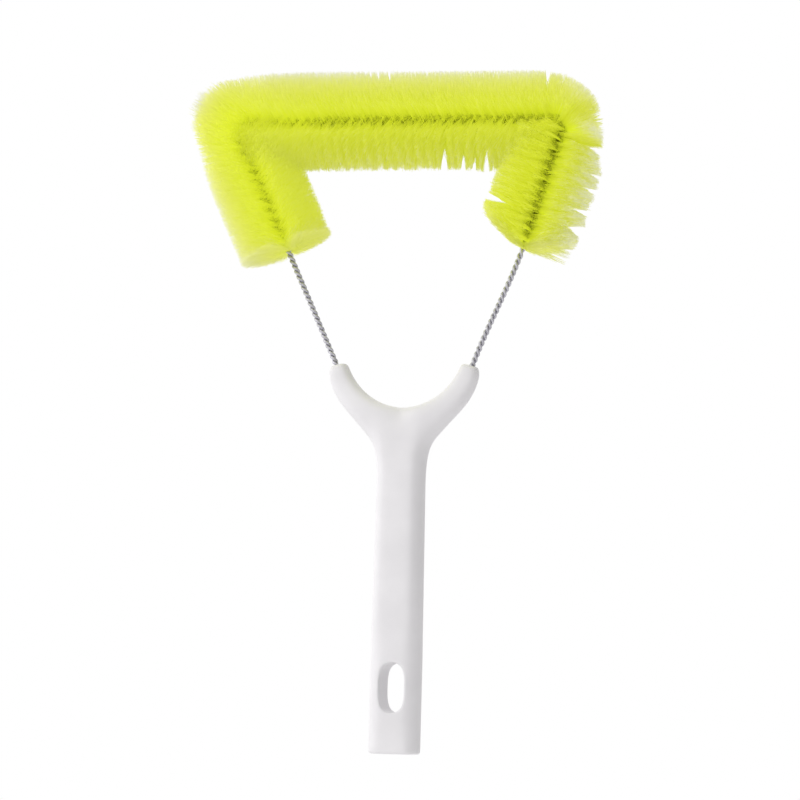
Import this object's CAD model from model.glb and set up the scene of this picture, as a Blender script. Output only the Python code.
"""Looks of the window cleaning brush: a forked white plastic handle, a loop of twisted
galvanised wire and a dense fill of lime green filaments, in a plain pale studio.

Metres, +Z up along the handle, the tool's face towards -Y, X across.
"""

import math

import bmesh
import bpy
import numpy as np
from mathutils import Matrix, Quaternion, Vector


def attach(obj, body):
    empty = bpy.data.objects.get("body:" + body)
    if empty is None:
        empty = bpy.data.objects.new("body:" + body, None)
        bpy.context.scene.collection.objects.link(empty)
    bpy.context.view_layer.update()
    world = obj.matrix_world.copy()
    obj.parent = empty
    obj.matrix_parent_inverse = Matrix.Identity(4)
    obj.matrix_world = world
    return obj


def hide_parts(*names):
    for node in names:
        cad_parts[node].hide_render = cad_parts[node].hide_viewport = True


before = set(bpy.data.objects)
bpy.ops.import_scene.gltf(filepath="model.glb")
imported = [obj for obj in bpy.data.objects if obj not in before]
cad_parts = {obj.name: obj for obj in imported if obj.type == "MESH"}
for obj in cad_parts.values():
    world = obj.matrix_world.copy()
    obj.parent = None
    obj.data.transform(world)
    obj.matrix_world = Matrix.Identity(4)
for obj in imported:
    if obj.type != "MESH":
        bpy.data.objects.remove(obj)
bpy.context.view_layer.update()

# Camera, fitted to the photograph. The aim is a point of the object's middle plane.
CAMERA_AZIMUTH = math.radians(15.0)
CAMERA_ELEVATION = math.radians(-4.3)
CAMERA_ROLL = math.radians(1.5)
CAMERA_DISTANCE = 1.5
CAMERA_AIM = (-0.0013, 0.0, 0.1344)
CAMERA_LENS_MM = 177.2
NEAR_CLIP = 0.01
FAR_CLIP = 100.0

# Handle: the grip
GRIP_WIDTH = 0.0196
NECK_WIDTH = 0.0183
GRIP_THICKNESS = 0.0146
BUTT_FILLET = 0.0014
NECK_HEIGHT = 0.1085

# Handle: the fork. Its inner edge is an arc of THROAT_RADIUS through the throat.
THROAT_HEIGHT = 0.1313
THROAT_RADIUS = 0.0233
TIP_ANGLE = math.radians(75.2)
TIP_WIDTH = 0.0073
TIP_THICKNESS = 0.0080

# Hang hole
HOLE_HEIGHT = 0.0250
HOLE_WIDTH = 0.0098
HOLE_LENGTH = 0.0190
HOLE_RIM = 0.0013
# Subdivision draws the hole's edge in, so its cage is this much wider
HOLE_CAGE_SHARE = 1.10
# The cage round each end of the hole: two stations' heights in the rim's radii, where
# the straight edge stops, as a share of it, and the round edge's middle, in its radii
HOLE_LEVEL_SHARES = (0.50, 0.88)
HOLE_STRAIGHT_SHARE = 0.95
HOLE_EDGE_SHARE = 0.707
# Points on the rim there, across and up, in its radii
HOLE_SIDE_SHARES = (0.90, 0.42)
HOLE_TOP_SHARES = (0.39, 0.95)
HOLE_SHOULDER_SHARES = (0.76, 0.80)

# Sockets in the prong tips
SOCKET_DEPTH = 0.0120
SOCKET_OFFSET = 0.0007
SOCKET_RADIUS = 0.00118
SOCKET_RIM = 0.0003
# Subdivision draws the socket in, so its cage is this much wider
SOCKET_CAGE_SHARE = 1.07
# The flat top of a prong's tip: from where to where across it, and its thickness
TIP_FLAT_SHARES = (0.12, 0.90)
TIP_FLAT_THICKNESS_SHARE = 0.74

# Wire loop. In the bristles the twist is longer, and the strands stand further apart.
TOP_RUN_LENGTH = 0.1318
TOP_RUN_SHIFT = -0.0046
TOP_RUN_RISE = 0.0938
CORNER_RADIUS = 0.0045
RIGHT_LEG_BOW = 0.0020
WIRE_DIAMETER = 0.00112
WIRE_GAP = 0.00006
BARE_PITCH = 0.0045
BRUSH_PITCH = 0.0080
PITCH_CHANGE = 0.0040
BRUSH_SPREAD = 0.0010
SOCKET_FLOOR_GAP = 0.0003

# Bristles. A filament has one thickness where the fill is soft and one where it clumps.
BRISTLED_LEG = 0.0520
CORNER_STRETCH = 0.0080
BRISTLE_REACH = 0.0190
FILAMENT_THICKNESSES = (0.00015, 0.00018)
PINCH_THICKNESS = 0.0007
FILAMENTS_PER_METRE = 170000.0

# The stretches of bristles, from the left leg round to the right one
STRETCHES = (
    "bristles_left_leg",
    "bristles_left_corner",
    "bristles_top_left",
    "bristles_top_middle",
    "bristles_top_right",
    "bristles_right_corner",
    "bristles_right_leg",
)

# Shape shares of the grip's and the prong's sections, from the middle of the front to
# the side: across, and from the middle plane to the face
GRIP_X_SHARES = (0.0, 0.46, 0.68, 0.89, 1.016)
GRIP_Y_SHARES = (1.0, 0.985, 0.93, 0.67, 0.21)
PRONG_X_SHARES = (0.0, 0.16, 0.50, 0.84, 1.0)
PRONG_Y_SHARES = (0.46, 1.00, 1.06, 1.00, 0.46)
COLUMNS = len(GRIP_X_SHARES)

# Rounding of the butt: height, and how far the outline is drawn in, in fillets
BUTT_SHARES = ((0.0, 2.2), (0.0, 0.45), (0.55, 0.0), (2.2, 0.0))
# The grip's stations above the hole, and where it starts to narrow, up to the neck
GRIP_HEIGHT_SHARES = (0.40, 0.52, 0.66, 0.80, 0.92)
WIDEST_SHARE = 0.30

# The fork's stations: place on the throat's arc and on the outer edge as shares of the
# tip's angle, width as a share of the tip's, thickness as a share from the tip's to the
# grip's, and how much of the prong's section it has
FORK_SHARES = (
    (0.00, 0.42, 1.49, 0.72, 0.75),
    (0.22, 0.54, 1.36, 0.50, 1.00),
    (0.46, 0.67, 1.31, 0.32, 1.00),
    (0.69, 0.80, 1.23, 0.16, 1.00),
    (0.87, 0.91, 1.14, 0.04, 1.00),
    (0.965, 0.965, 1.02, -0.04, 1.00),
)
SHOULDER_SHARES = (
    (0.32, 0.205, 2.14, 1.00, 0.10),
    (0.70, 0.305, 1.75, 0.93, 0.10),
)

# How near points of the handle's two halves are joined
WELD_DISTANCE = 0.000001

# Counts
HANDLE_LEVELS = 3
HOLE_STATIONS = 7
LEG_SAMPLES = 61
BEND_SAMPLES = 25
TWIST_SAMPLES = 4001
STRETCH_SAMPLES = 200
WIRE_POINTS_PER_TURN = 18
WIRE_BEVEL_STEPS = 3
FILAMENT_SIDES = 3
TOP_STRETCHES = 3
SEED = 7


def camera_way():
    """From the camera's aim towards the camera."""
    level = math.cos(CAMERA_ELEVATION)
    across = math.sin(CAMERA_AZIMUTH) * level
    return Vector((across, -math.cos(CAMERA_AZIMUTH) * level, math.sin(CAMERA_ELEVATION)))


def fork_point(radius, angle):
    """The place in the XZ plane at this radius and angle about the throat's arc."""
    centre_height = THROAT_HEIGHT + THROAT_RADIUS
    return np.array([radius * math.sin(angle), centre_height - radius * math.cos(angle)])


def socket_mouth(side):
    """Where a wire enters a prong tip, a little outside the tip's middle."""
    x, z = fork_point(THROAT_RADIUS + TIP_WIDTH / 2 + SOCKET_OFFSET, TIP_ANGLE)
    return np.array([side * x, z])


# The wire's route, in the XZ plane, from the left socket round to the right one


def loop_corner(side):
    """Where a leg's line meets the top run's line, before the bend is rounded."""
    height = socket_mouth(side)[1] + TOP_RUN_RISE
    return np.array([TOP_RUN_SHIFT + side * TOP_RUN_LENGTH / 2, height])


def leg_direction(side):
    """Along a leg, from the socket up to the corner."""
    leg = loop_corner(side) - socket_mouth(side)
    return leg / np.linalg.norm(leg)


def corner_cut(side):
    """How far the rounded bend starts before its corner."""
    turn = math.pi / 2 + math.atan2(abs(leg_direction(side)[0]), leg_direction(side)[1])
    return CORNER_RADIUS * math.tan(turn / 2)


def leg_points(side, bow):
    """From the socket's bottom to where the bend starts, bowed outwards."""
    mouth = socket_mouth(side)
    along = leg_direction(side)
    outward = side * np.array([along[1], -along[0]])
    length = np.linalg.norm(loop_corner(side) - mouth) - corner_cut(side)
    bottom = mouth - along * (SOCKET_DEPTH - SOCKET_FLOOR_GAP)
    shares = np.linspace(0, 1, LEG_SAMPLES)
    bowed = [
        mouth + along * length * share + outward * bow * math.sin(math.pi * share) ** 2
        for share in shares
    ]
    return np.array([bottom, *bowed])


def bend_points(side):
    """The round of a corner, from the leg to the top run, without its two ends."""
    corner = loop_corner(side)
    cut = corner_cut(side)
    from_leg = corner - leg_direction(side) * cut
    to_top = corner + np.array([-side * cut, 0])
    centre = to_top - np.array([0, CORNER_RADIUS])
    start = math.atan2(*(from_leg - centre)[::-1])
    if side < 0:
        start %= 2 * math.pi
    angles = np.linspace(start, math.pi / 2, BEND_SAMPLES)[1:-1]
    return centre + CORNER_RADIUS * np.column_stack([np.cos(angles), np.sin(angles)])


class Route:
    """The middle line of the twisted stem, and its turns, by length along it."""

    def __init__(self):
        left = leg_points(-1, 0)
        right = leg_points(1, RIGHT_LEG_BOW)
        left_bend = bend_points(-1)
        right_bend = bend_points(1)
        left_top = loop_corner(-1) + np.array([corner_cut(-1), 0])
        right_top = loop_corner(1) - np.array([corner_cut(1), 0])
        self.points = np.vstack(
            [left, left_bend, left_top, right_top, right_bend[::-1], right[::-1]]
        )
        steps = np.linalg.norm(np.diff(self.points, axis=0), axis=1)
        self.at = np.concatenate([[0], np.cumsum(steps)])
        self.length = self.at[-1]
        self.left_bend = (self.at[len(left) - 1], self.at[len(left) + len(left_bend)])
        right_start = len(left) + len(left_bend) + 1
        self.right_bend = (self.at[right_start], self.at[right_start + len(right_bend) + 1])
        self.brush_start = self.left_bend[0] + corner_cut(-1) - BRISTLED_LEG
        self.brush_end = self.right_bend[1] - corner_cut(1) + BRISTLED_LEG
        self.fill_start = self.brush_start - LEFT_END_EXTRA
        self.fill_end = self.brush_end + RIGHT_END_EXTRA
        self.fine = np.linspace(0, self.length, TWIST_SAMPLES)
        turn_rate = 1 / self.mix(self.fine, BARE_PITCH, BRUSH_PITCH, 1)
        middle = (turn_rate[1:] + turn_rate[:-1]) / 2
        self.turns = np.concatenate([[0], np.cumsum(middle * np.diff(self.fine))])

    def mix(self, along, bare, brush, lead):
        """A size that goes smoothly from its bare to its brush value and back.

        The lead says how much of the change comes before the bristles.
        """
        into = (along - self.brush_start) / PITCH_CHANGE + lead
        out = (self.brush_end - along) / PITCH_CHANGE + lead
        share = np.clip(np.minimum(into, out), 0, 1)
        return bare + (brush - bare) * share * share * (3 - 2 * share)

    def frame(self, along):
        """Points on the middle line, and the ways onwards, outwards and backwards."""
        along = np.atleast_1d(along)
        flat = np.column_stack([np.interp(along, self.at, c) for c in self.points.T])
        middles = (self.at[1:] + self.at[:-1]) / 2
        steps = np.diff(self.points, axis=0) / np.diff(self.at)[:, None]
        heading = np.column_stack([np.interp(along, middles, c) for c in steps.T])
        heading /= np.linalg.norm(heading, axis=1)[:, None]
        zero = np.zeros(len(along))
        point = np.column_stack([flat[:, 0], zero, flat[:, 1]])
        onward = np.column_stack([heading[:, 0], zero, heading[:, 1]])
        outward = np.column_stack([-heading[:, 1], zero, heading[:, 0]])
        backward = np.column_stack([zero, zero + 1, zero])
        return point, onward, outward, backward

    def angle(self, along):
        return 2 * math.pi * np.interp(along, self.fine, self.turns)

    def stretches(self):
        """Each stretch of bristles: its name, where it starts and where it ends."""
        left_leg_end = self.left_bend[0] - CORNER_STRETCH
        left_top = self.left_bend[1] + CORNER_STRETCH
        right_top = self.right_bend[0] - CORNER_STRETCH
        right_leg_start = self.right_bend[1] + CORNER_STRETCH
        top_cuts = np.linspace(left_top, right_top, TOP_STRETCHES + 1)
        cuts = [self.fill_start, left_leg_end, *top_cuts, right_leg_start, self.fill_end]
        return zip(STRETCHES, cuts, cuts[1:])


# The handle


def grip_depth(x, half_width, half_thick):
    """How far the grip's face stands from the middle plane, at this place across."""
    return half_thick * np.interp(x / half_width, GRIP_X_SHARES, GRIP_Y_SHARES)


def section(inner, outer, half_thick, prong_share):
    """A station's places (x, depth, z), from its inner to its outer edge."""
    grip = np.array([GRIP_X_SHARES, GRIP_Y_SHARES])
    prong = np.array([PRONG_X_SHARES, PRONG_Y_SHARES])
    x_shares, y_shares = grip + (prong - grip) * prong_share
    flat = inner + (outer - inner) * x_shares[:, None]
    return np.column_stack([flat[:, 0], half_thick * y_shares, flat[:, 1]])


def level_station(height, half_width, half_thick):
    """A station straight across the grip."""
    return section(np.array([0, height]), np.array([half_width, height]), half_thick, 0)


def hole_station(row):
    """One of the stations round the hang hole, counted from its middle, down or up."""
    end = 1 if row > 0 else -1
    step = abs(row)
    half = HOLE_WIDTH / 2
    straight = HOLE_LENGTH / 2 - half
    edge = half * HOLE_CAGE_SHARE
    outer = edge + HOLE_RIM
    low_level, high_level = (straight + outer * share for share in HOLE_LEVEL_SHARES)
    nominal = (0.0, straight, low_level, high_level)[step]
    rim_x = half + HOLE_RIM

    def on_rim(shares):
        return outer * shares[0], straight + outer * shares[1]

    places = {
        0: ((0, 0), (half, 0), (rim_x, 0)),
        1: ((0, straight), (half, straight * HOLE_STRAIGHT_SHARE), (rim_x, straight)),
        2: (
            (0, straight + edge),
            (edge * HOLE_EDGE_SHARE, straight + edge * HOLE_EDGE_SHARE),
            on_rim(HOLE_SIDE_SHARES),
        ),
        3: (
            (0, straight + outer),
            on_rim(HOLE_TOP_SHARES),
            on_rim(HOLE_SHOULDER_SHARES),
        ),
    }[step]
    station = level_station(HOLE_HEIGHT + end * nominal, GRIP_WIDTH / 2, GRIP_THICKNESS / 2)
    for column, (x, up) in enumerate(places):
        depth = grip_depth(x, GRIP_WIDTH / 2, GRIP_THICKNESS / 2)
        station[column] = (x, depth, HOLE_HEIGHT + end * up)
    return station


def handle_stations():
    """Every station from butt to tip, the indexes of the hole's, and the throat's."""
    half_thick = GRIP_THICKNESS / 2
    half_width = GRIP_WIDTH / 2
    tip_half = TIP_THICKNESS / 2
    stations = []
    for height_share, drawn_share in BUTT_SHARES:
        drawn = BUTT_FILLET * drawn_share
        station = level_station(BUTT_FILLET * height_share, half_width - drawn, half_thick - drawn)
        stations.append(station)
    first_hole = len(stations)
    for row in range(HOLE_STATIONS):
        stations.append(hole_station(row - HOLE_STATIONS // 2))
    for height_share in (*GRIP_HEIGHT_SHARES, 1.0):
        past = max(0, height_share - WIDEST_SHARE) / (1 - WIDEST_SHARE)
        width = half_width - (GRIP_WIDTH - NECK_WIDTH) / 2 * past
        stations.append(level_station(NECK_HEIGHT * height_share, width, half_thick))
    for height_share, angle_share, width_share, thick_share, prong_share in SHOULDER_SHARES:
        inner = np.array([0, NECK_HEIGHT + (THROAT_HEIGHT - NECK_HEIGHT) * height_share])
        outer = fork_point(THROAT_RADIUS + TIP_WIDTH * width_share, TIP_ANGLE * angle_share)
        thick = tip_half + (half_thick - tip_half) * thick_share
        stations.append(section(inner, outer, thick, prong_share))
    throat = len(stations)
    for inner_share, outer_share, width_share, thick_share, prong_share in FORK_SHARES:
        inner = fork_point(THROAT_RADIUS, TIP_ANGLE * inner_share)
        outer = fork_point(THROAT_RADIUS + TIP_WIDTH * width_share, TIP_ANGLE * outer_share)
        thick = tip_half + (half_thick - tip_half) * thick_share
        stations.append(section(inner, outer, thick, prong_share))
    return stations, first_hole, throat


def tip_rings(side):
    """Rings that close a prong's tip and go down its socket, each front then back."""
    across = np.array([math.sin(TIP_ANGLE), -math.cos(TIP_ANGLE)])
    mouth = socket_mouth(1)
    leg = leg_direction(side) * np.array([side, 1])
    inner, outer = (
        fork_point(THROAT_RADIUS + TIP_WIDTH * share, TIP_ANGLE) for share in TIP_FLAT_SHARES
    )
    flat_top = section(inner, outer, TIP_THICKNESS / 2 * TIP_FLAT_THICKNESS_SHARE, 1)
    rings = [ring_of(flat_top)]
    radius = SOCKET_RADIUS * SOCKET_CAGE_SHARE
    for depth in (0, SOCKET_RIM, SOCKET_DEPTH):
        ring = []
        for k in range(2 * COLUMNS):
            angle = math.pi * (1 + (k + 0.5) / COLUMNS)
            flat = mouth + across * radius * math.cos(angle) - leg * depth
            ring.append((flat[0], radius * math.sin(angle), flat[1]))
        rings.append(ring)
    return rings


def ring_of(station):
    """A station's places as one ring: along the front, then back along the back."""
    front = [(x, -depth, z) for x, depth, z in station]
    back = [(x, depth, z) for x, depth, z in station]
    return front + back[::-1]


def add_half(bm, side):
    """One half of the handle's cage, with its half of the hang hole."""
    stations, first_hole, throat = handle_stations()
    places = [ring_of(station) for station in stations] + tip_rings(side)
    rings = [[bm.verts.new((side * x, y, z)) for x, y, z in ring] for ring in places]
    around = 2 * COLUMNS
    first, last = first_hole + 1, first_hole + HOLE_STATIONS - 2
    hole = range(first, last)
    for index, (low, high) in enumerate(zip(rings, rings[1:])):
        for i in range(around if index >= throat else around - 1):
            if index in hole and i in (0, around - 2):
                continue
            j = (i + 1) % around
            bm.faces.new((low[i], low[j], high[j], high[i]))
    bm.faces.new(rings[0])
    bm.faces.new(rings[-1])
    # The hole's wall joins the two faces' edges by way of two rings inside it
    edge = [(first, 0)] + [(index, 1) for index in range(first, last + 1)] + [(last, 0)]
    walls = []
    for index, column in edge:
        front = rings[index][column]
        back = rings[index][around - 1 - column]
        inside = []
        for depth in (front.co.y + HOLE_RIM, back.co.y - HOLE_RIM):
            inside.append(bm.verts.new((front.co.x, depth, front.co.z)))
        walls.append([front, *inside, back])
    for first_line, second_line in zip(walls, walls[1:]):
        for k in range(3):
            corners = (first_line[k], second_line[k], second_line[k + 1], first_line[k + 1])
            bm.faces.new(corners)


def make_handle(material):
    bm = bmesh.new()
    for side in (-1, 1):
        add_half(bm, side)
    bmesh.ops.remove_doubles(bm, verts=bm.verts, dist=WELD_DISTANCE)
    bmesh.ops.recalc_face_normals(bm, faces=bm.faces)
    mesh = mesh_from(bm, "plastic_handle", material)
    handle = add_object("plastic_handle", mesh)
    smooth = handle.modifiers.new("soft form", "SUBSURF")
    smooth.levels = HANDLE_LEVELS
    smooth.render_levels = HANDLE_LEVELS
    mesh.shade_smooth()
    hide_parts("handle")


def mesh_from(bm, name, material):
    mesh = bpy.data.meshes.new(name)
    bm.to_mesh(mesh)
    bm.free()
    mesh.materials.append(material)
    return mesh


def link(obj):
    bpy.context.scene.collection.objects.link(obj)


def add_object(name, data):
    """A new piece of the object, on its only body."""
    obj = bpy.data.objects.new(name, data)
    link(obj)
    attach(obj, "root")
    return obj


# The two wires


def make_wire(name, node, route, half_turns, material):
    """One strand, round the stem's middle line, with its ends in the sockets."""
    count = int(route.turns[-1] * WIRE_POINTS_PER_TURN)
    along = np.interp(np.linspace(0, route.turns[-1], count), route.turns, route.fine)
    point, _, outward, backward = route.frame(along)
    angle = (route.angle(along) + half_turns * math.pi)[:, None]
    bare = (WIRE_DIAMETER + WIRE_GAP) / 2
    spread = route.mix(along, bare, BRUSH_SPREAD, 0)[:, None]
    centres = point + spread * (np.cos(angle) * outward + np.sin(angle) * backward)
    curve = bpy.data.curves.new(name, "CURVE")
    curve.dimensions = "3D"
    curve.bevel_depth = WIRE_DIAMETER / 2
    curve.bevel_resolution = WIRE_BEVEL_STEPS
    curve.use_fill_caps = True
    spline = curve.splines.new("POLY")
    spline.points.add(len(centres) - 1)
    for target, centre in zip(spline.points, centres):
        target.co = (*centre, 1)
    spline.use_smooth = True
    curve.materials.append(material)
    wire = add_object(name, curve)
    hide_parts(node)


# The bristles

# The fill is soft on the left and goes over to rows and clumps on the right, between two
# places across. Each pair is for the soft and the clumpy fill: the splay round the stem
# at root and tip, the splay along it, and how far clumps of tips are drawn together.
SOFT_UNTIL = -0.050
CLUMPY_FROM = -0.025
ROOT_SPLAYS = (math.radians(10.0), math.radians(5.0))
SPLAY_ANGLES = (math.radians(60.0), math.radians(30.0))
SPLAYS_ALONG = (0.0022, 0.0006)
CLUMP_PULLS = (0.0, 0.14)
CLUMP_PULL_SHARES = (0.5, 1.2)
CLUMP_SIZE = 0.0050
# How far each half turn's tips are drawn into a row where the fill is clumpy
ROW_PULL = 0.62
# The right leg's rows are looser: their share of that pull, and their splays
LEG_ROW_SHARE = 0.35
LEG_SPLAY_ALONG = 0.0011
LEG_ROOT_SPLAY = math.radians(18.0)
# How much shorter single filaments and whole clumps may be, how far they bend, and how
# thick a tip is
RAGGED_SHARE = 0.07
CLUMP_REACH_SHARE = 0.07
BEND_SHARE = 0.03
TIP_THIN_SHARE = 0.62
# How soon along a filament its splay comes in, and how late its lean along the stem
SPLAY_EASE = 0.30
LEAN_POWER = 1.3
RING_SHARES = np.array([0.0, 0.22, 1.0])

# From where to where a change comes in round the stem, as the cosine of the angle from
# the loop's outer side: the soft top, the pinch and the pull to the left corner's point,
# and, from the inner side, the short filaments in the bends
TOP_COSINES = (-0.5, 0.3)
PINCH_COSINES = (0.0, 0.5)
POINT_COSINES = (-0.2, 0.6)
CAUGHT_COSINES = (-0.4, 0.3)

# The tips are parted along the stem by this angle either way, so that the stem shows in
# front. The back is parted less, and the left corner not at all over this length.
CORE_PARTING = math.radians(14.0)
CORE_PARTING_INFLUENCE = math.radians(55.0)
BACK_PARTING_SHARE = 0.35
CLOSED_CORNER = 0.0055

# Paleness goes from 0 at the stem to about 1 at a bleached tip. It is less on the loop's
# inner side, more so in the bends, less where a tip points to the front or the back and
# on the right leg, and it changes from row to row.
INNER_DEPTH = 0.40
BEND_DEPTH = 0.55
FACE_PALENESS = 0.50
LEG_PALENESS = 0.92
ROW_PALENESS = 0.36
# At the fill's two ends the filaments are pale from the stem on
END_PALENESS = 0.58
END_PALE_LENGTH = 0.0030
# A filament's tone is light at 1 and shaded at 0. Most of it is its row's. It is less on
# the loop's inner side, by these shares on the legs and under the top run, and less again
# in the bends.
ROW_TONE = 0.76
ROW_TONE_SHARE = 0.85
INNER_SHADE = 0.44
INNER_SHADE_SHARES = (0.3, 1.0)
BEND_SHADE = 0.50

# Round a corner the fill is crowded, and on its inner side many filaments are caught
# short: over what length, how many, and how short
CORNER_CROWDING = 3.0
CORNER_SPREAD = 0.0050
CAUGHT_SPREAD = 0.0070
CAUGHT_SHARE = 0.75
CAUGHT_REACH_SHARES = (0.45, 0.75)
# The ends of the fill are crowded too, so that their faces are closed
END_CROWDING = 2.5
END_CROWDING_LENGTH = 0.0020
# How many times as dense the right leg's fill is
RIGHT_LEG_DENSITY = 1.05
# Where tips stand out or in, by the bend that it is measured from: how far along the stem
# from the bend's middle, the spread along the stem, the way from the stem in the XZ plane
# in degrees, how narrow the change is, and its share of the reach
LEFT_LOBES = (
    (0.0, 0.0070, 150, 60, 0.34),
    (0.0015, 0.0065, 122, 16, -0.33),
    (-0.0020, 0.0070, 186, 8, -0.38),
    (-0.0130, 0.0070, 202, 4, -0.02),
    (-0.0320, 0.0200, 22, 3, -0.035),
    (-0.0480, 0.0050, 22, 3, -0.07),
    (0.0300, 0.0250, 90, 3, 0.030),
    (0.0, 0.0060, -31, 2, -0.15),
)
RIGHT_LOBES = (
    (0.0, 0.0060, 214, 2, -0.25),
    (0.0, 0.0060, 8, 6, -0.20),
    (-0.0045, 0.0030, 90, 10, -0.07),
    (0.0065, 0.0045, -12, 3, -0.13),
    (0.0530, 0.0045, -22, 6, -0.11),
    (0.0, 0.0060, 60, 20, -0.095),
    (0.0170, 0.0080, -15, 4, 0.05),
    (0.0360, 0.0200, 0, 0, 0.055),
    (-0.0650, 0.0400, 90, 3, 0.012),
    (-0.0220, 0.0140, -90, 3, 0.040),
    (0.0560, 0.0070, 140, 2, -0.10),
)
# Round the left bend the tips are drawn together into a point: how far along the stem,
# the point's way in the XZ plane, how much of the turn towards it they take, and how
# much flatter the fill is there
CORNER_POINT = (0.0070, math.radians(150.0), 0.74)
POINT_PINCH = 0.65

# How far the fill goes past its CAD ends, how far its tips may stray past that, and how
# much less the left end's outer tips do
LEFT_END_EXTRA = 0.0031
RIGHT_END_EXTRA = -0.0002
LEFT_TIP_EXTRA = -0.0023
RIGHT_TIP_EXTRA = -0.0009
END_SPLAY = 0.0013
LEFT_END_TILT = 0.0008
# By how much the right leg's lowest tips lean up, on the outer and the inner side, and
# over what length of the leg
END_LEANS = (0.0072, 0.0082)
END_LEAN_LENGTH = 0.0140
# Some outer filaments there lean less, in wisps: their share, the shares of the lean
# that they take, how long the lowest ones are, and over what share of that length
WISP_SHARE = 0.16
WISP_LEANS = (0.0, 0.15, 0.55)
WISP_REACH_SHARE = 0.96
WISP_END_SHARE = 0.5

# Partings: where the photograph shows the fill pushed apart. Each is a wedge, seen
# against the XZ plane: its apex, the place between its tips, and its half width there.
PARTINGS = (
    # under the top run
    ((0.0136, 0.2352), (0.0138, 0.2230), 0.0014),
    ((0.0211, 0.2308), (0.0214, 0.2229), 0.0010),
    ((0.0258, 0.2250), (0.0257, 0.2229), 0.0009),
    ((0.0298, 0.2253), (0.0303, 0.2228), 0.0019),
    # inside the right leg
    ((0.0450, 0.2051), (0.0320, 0.2119), 0.0013),
    # outside the right leg
    ((0.0708, 0.2303), (0.0747, 0.2294), 0.0006),
    ((0.0698, 0.2219), (0.0738, 0.2195), 0.0008),
    ((0.0706, 0.2144), (0.0735, 0.2133), 0.0010),
    ((0.0653, 0.2074), (0.0702, 0.2053), 0.0010),
    ((0.0622, 0.2038), (0.0669, 0.1995), 0.0023),
    ((0.0601, 0.1928), (0.0644, 0.1909), 0.0006),
    ((0.0543, 0.1917), (0.0629, 0.1875), 0.0006),
    # along the top
    ((0.0526, 0.2530), (0.0536, 0.2597), 0.0010),
    ((-0.0156, 0.2570), (-0.0164, 0.2613), 0.0004),
    ((-0.0129, 0.2577), (-0.0134, 0.2612), 0.0005),
    ((-0.0087, 0.2580), (-0.0090, 0.2611), 0.0006),
)
# How far from a parting filaments are pushed, how soon it reaches its full width, and
# where past its end it closes, as shares of its length
PARTING_INFLUENCE = 0.0045
PARTING_POWER = 0.40
PARTING_CLOSE_SHARES = (1.1, 1.8)


def smooth_step(value, start, end):
    """0 up to the start, 1 from the end on, and a smooth rise between them."""
    share = np.clip((value - start) / (end - start), 0, 1)
    return share * share * (3 - 2 * share)


def blend(pair, share):
    return pair[0] + (pair[1] - pair[0]) * share


def turn_between(angle, other):
    """The shorter turn from the other angle to this one."""
    return np.angle(np.exp(1j * (angle - other)))


def on_middle_plane(points):
    """Where the photograph's camera sees points against the XZ plane."""
    eye = np.array(CAMERA_AIM) + np.array(camera_way()) * CAMERA_DISTANCE
    nearness = eye[1] / (eye[1] - points[..., 1])
    return eye[[0, 2]] + (points[..., [0, 2]] - eye[[0, 2]]) * nearness[..., None]


def open_partings(places):
    """Pushes filaments out of the partings, each to the side that its tip is on."""
    for apex, end, half_width in PARTINGS:
        way = np.array(end) - np.array(apex)
        length = np.linalg.norm(way)
        way = way / length
        sideways = np.array([way[1], -way[0]])
        offset = on_middle_plane(places) - np.array(apex)
        along, lateral = offset @ way, offset @ sideways
        side = np.where(lateral[:, -1:] < 0, -1.0, 1.0)
        gap = half_width * np.clip(along / length, 0, 1) ** PARTING_POWER
        gap *= 1 - smooth_step(along, *(length * share for share in PARTING_CLOSE_SHARES))
        near = np.maximum(lateral * side, 0)
        touched = (near < PARTING_INFLUENCE) & (lateral * side > -gap)
        moved = gap + near * (1 - gap / PARTING_INFLUENCE)
        shift = np.where(touched, moved - lateral * side, 0) * side
        places[..., 0] += shift * sideways[0]
        places[..., 2] += shift * sideways[1]
    return places


def near_bend(along, bend, spread=CORNER_SPREAD, offset=0.0):
    """1 in the middle of a bend of the stem, or at an offset from it, and 0 well away."""
    return np.exp(-(((along - sum(bend) / 2 - offset) / spread) ** 2))


def near_bends(route, along):
    """1 in the middle of either bend, over the length where filaments are caught."""
    left = near_bend(along, route.left_bend, CAUGHT_SPREAD)
    return left + near_bend(along, route.right_bend, CAUGHT_SPREAD)


def on_right_leg(route, along):
    """1 on the right leg, and 0 before its bend."""
    return smooth_step(along, route.right_bend[1], route.right_bend[1] + CORNER_STRETCH)


def stem_places(route, start, end, rng):
    """Where along the stem each filament of a stretch sits."""
    fine = np.linspace(start, end, STRETCH_SAMPLES)
    corners = near_bend(fine, route.left_bend) + near_bend(fine, route.right_bend)
    ends = np.exp(-(fine - route.fill_start) / END_CROWDING_LENGTH)
    ends += np.exp(-(route.fill_end - fine) / END_CROWDING_LENGTH)
    crowding = 1 + (CORNER_CROWDING - 1) * corners + (END_CROWDING - 1) * ends
    leg_density = blend((1.0, RIGHT_LEG_DENSITY), on_right_leg(route, fine))
    density = FILAMENTS_PER_METRE * crowding * leg_density
    steps = np.diff(fine) * (density[1:] + density[:-1]) / 2
    total = np.concatenate([[0], np.cumsum(steps)])
    count = int(total[-1])
    wanted = (np.arange(count) + rng.random(count)) / count * total[-1]
    return np.interp(wanted, total, fine)


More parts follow.
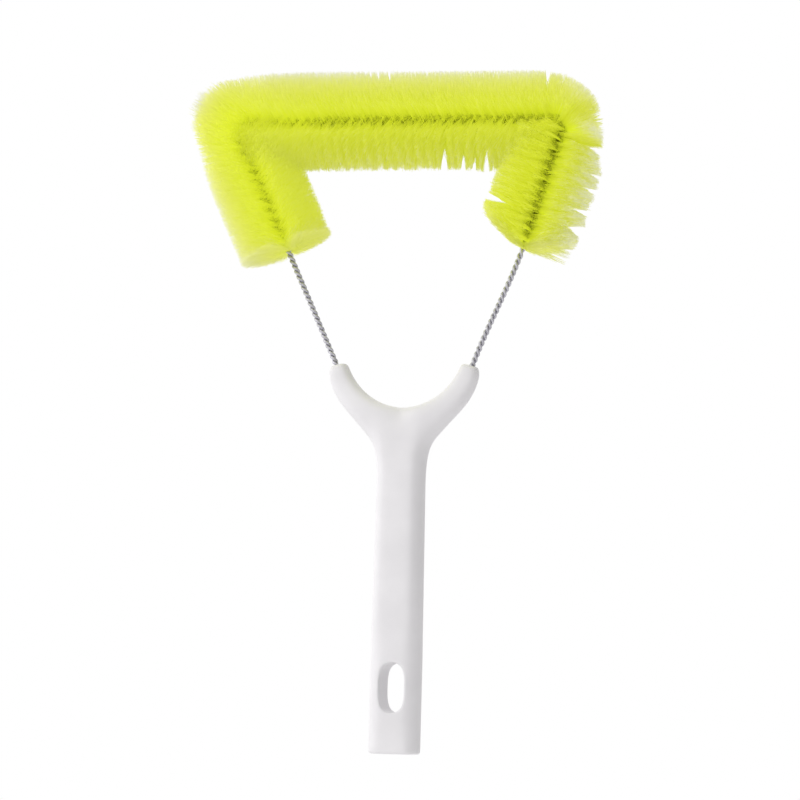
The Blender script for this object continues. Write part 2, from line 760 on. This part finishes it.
def draw_together(angle, along, pull, rng):
    """Moves tips, given by angle and place along the stem, towards their clump's middle."""
    area = (along.max() - along.min()) * 2 * math.pi * BRISTLE_REACH
    clumps = int(area / CLUMP_SIZE ** 2)
    clump_angle = rng.uniform(0, 2 * math.pi, clumps)
    clump_along = rng.uniform(along.min(), along.max(), clumps)
    aside = turn_between(clump_angle[None, :], angle[:, None])
    onwards = clump_along[None, :] - along[:, None]
    nearest = np.argmin((aside * BRISTLE_REACH) ** 2 + onwards ** 2, axis=1)
    each = np.arange(len(angle))
    strength = pull * rng.uniform(*CLUMP_PULL_SHARES, clumps)[nearest]
    angle = angle + strength * aside[each, nearest]
    along = along + strength * onwards[each, nearest]
    return angle, along, nearest, clumps


class Arm:
    """One arm of every filament in a stretch, from the stem to the tips.

    Angles go round the stem, from the loop's outer side.
    """

    def __init__(self, route, along, base, side, rng):
        self.route = route
        self.along = along
        self.base = base
        self.count = len(along)
        _, self.onward, self.outward, self.backward = route.frame(along)
        self.upward = np.maximum(self.outward[:, 2], 0)
        self.row = route.angle(along) + side * math.pi / 2
        top_side = smooth_step(np.cos(self.row), *TOP_COSINES) * self.upward
        self.clumpy = smooth_step(base[:, 0], SOFT_UNTIL, CLUMPY_FROM) * (1 - top_side)
        self.loose = on_right_leg(route, along)
        self.aim(rng)
        self.set_tips(rng)
        self.set_reach(rng)
        self.bend = rng.normal(0, BEND_SHARE, self.count)

    def mixed(self, pair, leg_value):
        """A value for the soft and the clumpy fill, and another one on the right leg."""
        return blend((blend(pair, self.clumpy), leg_value), self.loose)

    def way(self, angle):
        return np.cos(angle)[:, None] * self.outward + np.sin(angle)[:, None] * self.backward

    def aim(self, rng):
        """The angles at the root and the tip, and the tips' places along the stem."""
        root_splay = self.mixed(ROOT_SPLAYS, LEG_ROOT_SPLAY)
        tip_splay = blend(SPLAY_ANGLES, self.clumpy)
        splay_along = self.mixed(SPLAYS_ALONG, LEG_SPLAY_ALONG)
        self.root_angle = self.row + rng.normal(0, 1, self.count) * root_splay
        angle = self.root_angle + rng.normal(0, 1, self.count) * tip_splay
        ends = self.along + rng.normal(0, 1, self.count) * splay_along
        from_row = turn_between(2 * self.row, 0) / 2 / (2 * math.pi) * BRUSH_PITCH
        ends -= ROW_PULL * blend((1.0, LEG_ROW_SHARE), self.loose) * self.clumpy * from_row
        pull = blend(CLUMP_PULLS, self.clumpy)
        angle, self.tip_along, self.clump, self.clumps = draw_together(angle, ends, pull, rng)
        pinch = POINT_PINCH * near_bend(self.along, self.route.left_bend)
        pinch *= smooth_step(np.cos(angle), *PINCH_COSINES)
        self.tip_angle = self.open_core(angle - pinch * turn_between(angle, 0))
        self.outer = np.cos(self.tip_angle)

    def open_core(self, angle):
        """Turns tips in front of the stem, and behind it, away from the line of sight."""
        way = np.array(camera_way())
        parting = 1 - near_bend(self.along, self.route.left_bend, CLOSED_CORNER)
        parting *= CORE_PARTING
        facing = np.arctan2(way[1], self.outward @ way)
        for turned, weight in ((0, 1), (math.pi, BACK_PARTING_SHARE)):
            aside = turn_between(angle, facing + turned)
            share = weight * np.clip(1 - np.abs(aside) / CORE_PARTING_INFLUENCE, 0, 1)
            angle = angle + np.where(aside < 0, -1, 1) * parting * share
        return angle

    def set_tips(self, rng):
        """Keeps the tips within the fill's ends, and leans them where the fill leans."""
        route = self.route
        low = route.fill_start - LEFT_TIP_EXTRA - END_SPLAY * rng.random(self.count)
        high = route.fill_end + RIGHT_TIP_EXTRA + END_SPLAY * rng.random(self.count)
        self.tip_along = np.clip(self.tip_along, low + LEFT_END_TILT * self.outer, high)
        lean = smooth_step(self.along, route.fill_end - END_LEAN_LENGTH, route.fill_end)
        self.wisp = (self.outer > 0) & (rng.random(self.count) < WISP_SHARE)
        lean *= np.where(self.wisp, rng.choice(WISP_LEANS, self.count), 1)
        self.tip_along += self.towards_point()
        self.tip_along -= np.where(self.outer > 0, *END_LEANS) * lean * np.abs(self.outer)

    def towards_point(self):
        """How far tips round the left bend are moved along the stem, towards its point."""
        spread, point_way, turn = CORNER_POINT
        own_way = np.arctan2(self.outward[:, 2], self.outward[:, 0])
        near = turn * near_bend(self.along, self.route.left_bend, spread)
        share = near * smooth_step(self.outer, *POINT_COSINES)
        return BRISTLE_REACH * np.sin(turn_between(own_way, point_way) * share)

    def set_reach(self, rng):
        """How long each filament's arm is."""
        ahead = ((self.tip_along - self.along) / BRISTLE_REACH)[:, None]
        tip_way = self.way(self.tip_angle) + ahead * self.onward
        tip_way /= np.linalg.norm(tip_way, axis=1)[:, None]
        reach = BRISTLE_REACH * (1 - RAGGED_SHARE * rng.random(self.count) ** 2)
        reach *= 1 - CLUMP_REACH_SHARE * self.clumpy * rng.random(self.clumps)[self.clump]
        lobes = [(self.route.left_bend, *lobe) for lobe in LEFT_LOBES]
        lobes += [(self.route.right_bend, *lobe) for lobe in RIGHT_LOBES]
        for bend, offset, spread, degrees, narrow, share in lobes:
            angle = math.radians(degrees)
            facing = tip_way @ np.array([math.cos(angle), 0, math.sin(angle)])
            lobe = np.maximum(facing, 0) ** narrow
            reach *= 1 + share * lobe * near_bend(self.along, bend, spread, offset)
        chance = CAUGHT_SHARE * near_bends(self.route, self.along)
        chance *= smooth_step(-self.outer, *CAUGHT_COSINES)
        caught = rng.random(self.count) < chance
        reach *= np.where(caught, blend(CAUGHT_REACH_SHARES, rng.random(self.count)), 1)
        lowest = self.along > self.route.fill_end - END_LEAN_LENGTH * WISP_END_SHARE
        self.reach = reach * np.where(self.wisp & lowest, WISP_REACH_SHARE, 1)

    def places(self):
        """The middles of each filament's rings, from the stem to its tip."""
        found = np.empty((self.count, len(RING_SHARES), 3))
        turn = self.tip_angle - self.root_angle
        for ring, share in enumerate(RING_SHARES):
            ease = share / (share + SPLAY_EASE) * (1 + SPLAY_EASE)
            angle = self.root_angle + turn * ease + self.bend * share * share
            lean = (self.tip_along - self.along) * share ** LEAN_POWER
            out = self.way(angle) * (self.reach * share)[:, None]
            found[:, ring] = self.base + out + self.onward * lean[:, None]
        return found

    def paleness(self):
        """How bleached each filament is at each of its rings."""
        inner = np.maximum(-self.outer, 0)
        depth = (INNER_DEPTH + BEND_DEPTH * near_bends(self.route, self.along)) * inner
        at_tip = self.reach / BRISTLE_REACH * (1 - depth + ROW_PALENESS * self.in_row())
        at_tip *= blend((FACE_PALENESS, 1.0), np.abs(self.outer))
        at_tip *= blend((1.0, LEG_PALENESS), self.loose)
        rings = at_tip[:, None] * RING_SHARES
        to_start, to_end = self.along - self.route.fill_start, self.route.fill_end - self.along
        end_share = np.minimum(to_start, to_end) / END_PALE_LENGTH
        at_end = END_PALENESS * np.exp(-(end_share ** 2))
        return rings + np.maximum(1 - rings, 0) * at_end[:, None]

    def tone(self, own_tone):
        """How light each filament is, from its own tone, its row and its side."""
        tone = blend((own_tone, ROW_TONE + self.in_row() / 2), ROW_TONE_SHARE)
        shade = INNER_SHADE * blend(INNER_SHADE_SHARES, self.upward ** 2)
        shade += BEND_SHADE * near_bends(self.route, self.along)
        return tone - shade * np.maximum(-self.outer, 0)

    def in_row(self):
        """1 in the middle of a row, -1 between two rows, and 0 where there are none."""
        return self.clumpy * np.cos(2 * self.row)


def make_bristles(name, route, start, end, material, rng):
    """One stretch of the fill. Each filament is pinched at its middle, with two arms."""
    along = stem_places(route, start, end, rng)
    point, onward, outward, backward = route.frame(along)
    angle = route.angle(along)[:, None]
    between = np.cos(angle) * outward + np.sin(angle) * backward
    base = point + between * ((rng.random(len(along)) - 0.5) * PINCH_THICKNESS)[:, None]
    own_tone = rng.random(len(along))
    points, palenesses, tones = [], [], []
    for side in (-1, 1):
        arm = Arm(route, along, base, side, rng)
        thickness = blend(FILAMENT_THICKNESSES, arm.clumpy)
        points.append(ring_points(open_partings(arm.places()), onward, thickness))
        palenesses.append(arm.paleness().ravel())
        tones.append(np.repeat(arm.tone(own_tone), len(RING_SHARES)))
    mesh = tube_mesh(name + "_fill", np.concatenate(points))
    set_attribute(mesh, "along", np.repeat(np.concatenate(palenesses), FILAMENT_SIDES))
    set_attribute(mesh, "tone", np.repeat(np.concatenate(tones), FILAMENT_SIDES))
    mesh.materials.append(material)
    obj = add_object(name + "_fill", mesh)
    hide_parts(name)


def ring_points(places, onward, thickness):
    """Corner points round each filament's line, thinner towards its tip."""
    heading = np.gradient(places, axis=1)
    heading /= np.linalg.norm(heading, axis=2)[..., None]
    first = onward[:, None] - (onward[:, None] * heading).sum(2)[..., None] * heading
    first /= np.linalg.norm(first, axis=2)[..., None]
    second = np.cross(heading, first)
    radius = thickness[:, None] / 2 * (1 - (1 - TIP_THIN_SHARE) * RING_SHARES)
    angles = 2 * math.pi * np.arange(FILAMENT_SIDES) / FILAMENT_SIDES
    around = (
        np.cos(angles)[:, None] * first[:, :, None] + np.sin(angles)[:, None] * second[:, :, None]
    )
    return places[:, :, None] + around * radius[..., None, None]


def tube_mesh(name, points):
    """Open tubes with closed tips, from points by filament, ring and side."""
    tubes, rings, sides, _ = points.shape
    index = np.arange(tubes * rings * sides).reshape(tubes, rings, sides)
    nxt = np.roll(index, -1, axis=2)
    quads = np.stack([index[:, :-1], nxt[:, :-1], nxt[:, 1:], index[:, 1:]], -1).reshape(-1, 4)
    tips = index[:, -1]
    mesh = bpy.data.meshes.new(name)
    mesh.vertices.add(index.size)
    mesh.vertices.foreach_set("co", points.astype(np.float32).ravel())
    loops = np.concatenate([quads.ravel(), tips.ravel()]).astype(np.int32)
    starts = np.concatenate(
        [np.arange(len(quads)) * 4, quads.size + np.arange(len(tips)) * sides]
    ).astype(np.int32)
    mesh.loops.add(len(loops))
    mesh.loops.foreach_set("vertex_index", loops)
    mesh.polygons.add(len(starts))
    mesh.polygons.foreach_set("loop_start", starts)
    mesh.update(calc_edges=True)
    mesh.shade_flat()
    return mesh


def set_attribute(mesh, name, values):
    attribute = mesh.attributes.new(name, "FLOAT", "POINT")
    attribute.data.foreach_set("value", values.astype(np.float32))


# Materials. A ramp is a row of stops: its place on the ramp, and its colour or value.

PLASTIC_COLOURS = ((0.30, (0.80, 0.79, 0.80)), (0.70, (0.86, 0.85, 0.86)))
PLASTIC_ROUGHNESSES = ((0.30, 0.36), (0.70, 0.44))
PLASTIC_GRAIN_DEPTH = 0.00005
STEEL_COLOURS = ((0.30, (0.50, 0.495, 0.53)), (0.70, (0.68, 0.675, 0.72)))
STEEL_ROUGHNESSES = ((0.30, 0.60), (0.70, 0.48))
STEEL_GRAIN_DEPTH = 0.00004
FLOOR_COLOURS = ((0.0, (0.88, 0.88, 0.88)), (1.0, (0.92, 0.92, 0.92)))
# In the fill the wire wears a film of lime dust, which comes in over this height
DUST_EDGE = 0.0020
DUST_COLOUR = (0.30, 0.33, 0.02, 1.0)
# The lime filaments by paleness: their colour, and their glow. The pigment is
# fluorescent: it gives back more light than it is lit with, most of all by the stem,
# where the filaments are thickest.
LIME_COLOURS = (
    (0.02, (0.74, 0.78, 0.07)),
    (0.12, (0.90, 0.93, 0.10)),
    (0.30, (0.925, 0.950, 0.16)),
    (0.45, (0.93, 0.955, 0.23)),
    (0.60, (0.935, 0.955, 0.32)),
    (0.75, (0.950, 0.962, 0.47)),
    (0.88, (0.962, 0.970, 0.66)),
    (1.0, (0.972, 0.976, 0.88)),
)
LIME_GLOWS = ((0.0, 0.35), (0.35, 0.28), (0.75, 0.187), (1.0, 0.124))
# How light a filament is by its tone
LIME_TONES = ((0.0, 0.88), (1.0, 1.0))
# Crumbs of shade and light round the stem, and how strong they are by paleness
CRUMB_COLOURS = ((0.42, (0.42, 0.46, 0.20)), (0.52, (1.0, 1.0, 1.0)))
CRUMB_STRENGTHS = ((0.08, 1.0), (0.22, 0.0))
# How much of the light on a filament goes through it
TRANSLUCENT_SHARE = 0.62


def grey(stops):
    return [(at, (value,) * 3) for at, value in stops]


class Nodes:
    """The node tree of a new material or world, with short calls to build it."""

    def __init__(self, owner, output="OutputMaterial"):
        owner.use_nodes = True
        self.owner = owner
        self.tree = owner.node_tree
        self.tree.nodes.clear()
        self.output = self.add(output)
        self.where = self.add("TexCoord")

    def add(self, kind, settings=None, **sources):
        """A new node. A source is an output to join to the input, or the input's value."""
        node = self.tree.nodes.new("ShaderNode" + kind)
        for key, value in (settings or {}).items():
            setattr(node, key, value)
        for key, source in sources.items():
            socket = node.inputs[key.replace("_", " ")]
            if isinstance(source, bpy.types.NodeSocket):
                self.join(source, socket)
            else:
                socket.default_value = source
        return node

    def join(self, start, end):
        self.tree.links.new(start, end)

    def ramp(self, source, stops):
        node = self.add("ValToRGB", Fac=source)
        elements = node.color_ramp.elements
        while len(elements) < len(stops):
            elements.new(1.0)
        for element, (position, colour) in zip(elements, stops):
            element.position = position
            element.color = (*colour, 1.0)
        return node.outputs["Color"]

    def noise(self, scale, detail):
        """A noise over the object's own coordinates."""
        where = self.where.outputs["Object"]
        return self.add("TexNoise", Vector=where, Scale=scale, Detail=detail).outputs["Fac"]

    def bump(self, height, strength, depth):
        node = self.add("Bump", Strength=strength, Distance=depth, Height=height)
        return node.outputs["Normal"]

    def mix(self, way, factor, first, second):
        settings = {"data_type": "RGBA", "blend_type": way}
        return self.add("Mix", settings, Factor=factor, A=first, B=second).outputs["Result"]

    def finish(self, surface):
        """Shows this surface, and gives back the material or world."""
        self.join(surface, self.output.inputs["Surface"])
        return self.owner


def plastic_material():
    nodes = Nodes(bpy.data.materials.new("white_plastic_moulding"))
    cloudy = nodes.noise(scale=55.0, detail=3.0)
    grain = nodes.noise(scale=2600.0, detail=2.0)
    shader = nodes.add(
        "BsdfPrincipled",
        Base_Color=nodes.ramp(cloudy, PLASTIC_COLOURS),
        Roughness=nodes.ramp(cloudy, grey(PLASTIC_ROUGHNESSES)),
        Normal=nodes.bump(grain, 0.10, PLASTIC_GRAIN_DEPTH),
        IOR=1.47,
    )
    return nodes.finish(shader.outputs["BSDF"])


def steel_material(dust_height):
    nodes = Nodes(bpy.data.materials.new("galvanised_drawn_wire"))
    mottle = nodes.noise(scale=900.0, detail=4.0)
    height = nodes.add("SeparateXYZ", Vector=nodes.where.outputs["Object"]).outputs["Z"]
    edge = dust_height + DUST_EDGE
    dusty = nodes.add("MapRange", Value=height, From_Min=dust_height, From_Max=edge)
    bare = nodes.ramp(mottle, STEEL_COLOURS)
    shader = nodes.add(
        "BsdfPrincipled",
        Base_Color=nodes.mix("MIX", dusty.outputs["Result"], bare, DUST_COLOUR),
        Roughness=nodes.ramp(mottle, grey(STEEL_ROUGHNESSES)),
        Normal=nodes.bump(mottle, 0.25, STEEL_GRAIN_DEPTH),
        Metallic=1.0,
    )
    return nodes.finish(shader.outputs["BSDF"])


def lime_material():
    nodes = Nodes(bpy.data.materials.new("lime_filament_plastic"))
    paleness = nodes.add("Attribute", {"attribute_name": "along"}).outputs["Fac"]
    tone = nodes.add("Attribute", {"attribute_name": "tone"}).outputs["Fac"]
    shade = nodes.ramp(tone, grey(LIME_TONES))
    toned = nodes.mix("MULTIPLY", 1.0, nodes.ramp(paleness, LIME_COLOURS), shade)
    crumbs = nodes.ramp(nodes.noise(scale=1300.0, detail=2.0), CRUMB_COLOURS)
    strength = nodes.ramp(paleness, grey(CRUMB_STRENGTHS))
    colour = nodes.mix("MULTIPLY", strength, toned, crumbs)
    surface = nodes.add(
        "BsdfPrincipled",
        Base_Color=colour,
        Emission_Color=colour,
        Emission_Strength=nodes.ramp(paleness, grey(LIME_GLOWS)),
        Roughness=0.50,
        IOR=1.5,
        Specular_IOR_Level=0.25,
    )
    through = nodes.add("BsdfTranslucent", Color=colour)
    mixed = nodes.add("MixShader", Fac=TRANSLUCENT_SHARE)
    nodes.join(surface.outputs["BSDF"], mixed.inputs[1])
    nodes.join(through.outputs["BSDF"], mixed.inputs[2])
    return nodes.finish(mixed.outputs["Shader"])


def floor_material():
    nodes = Nodes(bpy.data.materials.new("pale_floor"))
    colour = nodes.ramp(nodes.noise(scale=1.5, detail=2.0), FLOOR_COLOURS)
    shader = nodes.add("BsdfPrincipled", Base_Color=colour, Roughness=0.8)
    return nodes.finish(shader.outputs["BSDF"])


# The studio

FLOOR_DROP = 0.30
FLOOR_RADIUS = 3.5
FLOOR_SIDES = 96
# The room's light: its mean, how much it changes across, and the side it comes from
AMBIENT = 0.75
AMBIENT_CHANGE = 0.55
AMBIENT_SIDE = (-0.85, 0.05, 0.50)
AMBIENT_COLOUR = (1.0, 0.99, 1.0, 1.0)
WHITE = (1.0, 1.0, 1.0, 1.0)
# One soft box stands to the left, in front of the object and above it
KEY_PLACE = (-1.2, -1.0, 0.9)
KEY_AIM = (0.0, 0.0, 0.13)
KEY_SIZE = 0.9
KEY_POWER = 4.0


def make_floor():
    bm = bmesh.new()
    bmesh.ops.create_circle(bm, cap_ends=True, segments=FLOOR_SIDES, radius=FLOOR_RADIUS)
    floor = bpy.data.objects.new("pale_floor", mesh_from(bm, "pale_floor", floor_material()))
    floor.location = (0, 0, -FLOOR_DROP)
    link(floor)


def make_world():
    """A white room: plain white behind the object, and a dimmer soft light from it."""
    nodes = Nodes(bpy.data.worlds.new("white_room"), "OutputWorld")
    side = nodes.add("VectorMath", {"operation": "DOT_PRODUCT"})
    nodes.join(nodes.where.outputs["Generated"], side.inputs[0])
    side.inputs[1].default_value = Vector(AMBIENT_SIDE).normalized()
    brightness = nodes.add("Math", {"operation": "MULTIPLY_ADD"})
    nodes.join(side.outputs["Value"], brightness.inputs[0])
    brightness.inputs[1].default_value = AMBIENT_CHANGE
    brightness.inputs[2].default_value = AMBIENT
    strength = brightness.outputs["Value"]
    light = nodes.add("Background", Color=AMBIENT_COLOUR, Strength=strength)
    seen = nodes.add("Background", Color=WHITE)
    mixed = nodes.add("MixShader", Fac=nodes.add("LightPath").outputs["Is Camera Ray"])
    nodes.join(light.outputs["Background"], mixed.inputs[1])
    nodes.join(seen.outputs["Background"], mixed.inputs[2])
    bpy.context.scene.world = nodes.finish(mixed.outputs["Shader"])


def make_key_light():
    light = bpy.data.lights.new("key", "AREA")
    light.shape = "SQUARE"
    light.size = KEY_SIZE
    light.energy = KEY_POWER
    obj = bpy.data.objects.new("key", light)
    obj.location = KEY_PLACE
    way = Vector(KEY_AIM) - Vector(KEY_PLACE)
    obj.rotation_euler = way.to_track_quat("-Z", "Y").to_euler()
    link(obj)


def make_camera():
    data = bpy.data.cameras.new("camera")
    data.lens = CAMERA_LENS_MM
    data.clip_start = NEAR_CLIP
    data.clip_end = FAR_CLIP
    camera = bpy.data.objects.new("camera", data)
    camera.location = Vector(CAMERA_AIM) + camera_way() * CAMERA_DISTANCE
    camera.rotation_mode = "QUATERNION"
    level = (-camera_way()).to_track_quat("-Z", "Y")
    camera.rotation_quaternion = level @ Quaternion((0, 0, 1), CAMERA_ROLL)
    link(camera)
    bpy.context.scene.camera = camera


def make_studio():
    make_floor()
    make_world()
    make_key_light()
    make_camera()
    bpy.context.scene.view_settings.view_transform = "Standard"


def main():
    route = Route()
    make_handle(plastic_material())
    fill_ends, _, _, _ = route.frame([route.fill_start, route.fill_end])
    steel = steel_material(fill_ends[:, 2].max())
    make_wire("twisted_wire_a", "wire_strand_a", route, 0, steel)
    make_wire("twisted_wire_b", "wire_strand_b", route, 1, steel)
    lime = lime_material()
    rng = np.random.default_rng(SEED)
    for name, start, end in route.stretches():
        make_bristles(name, route, start, end, lime, rng)
    make_studio()


main()
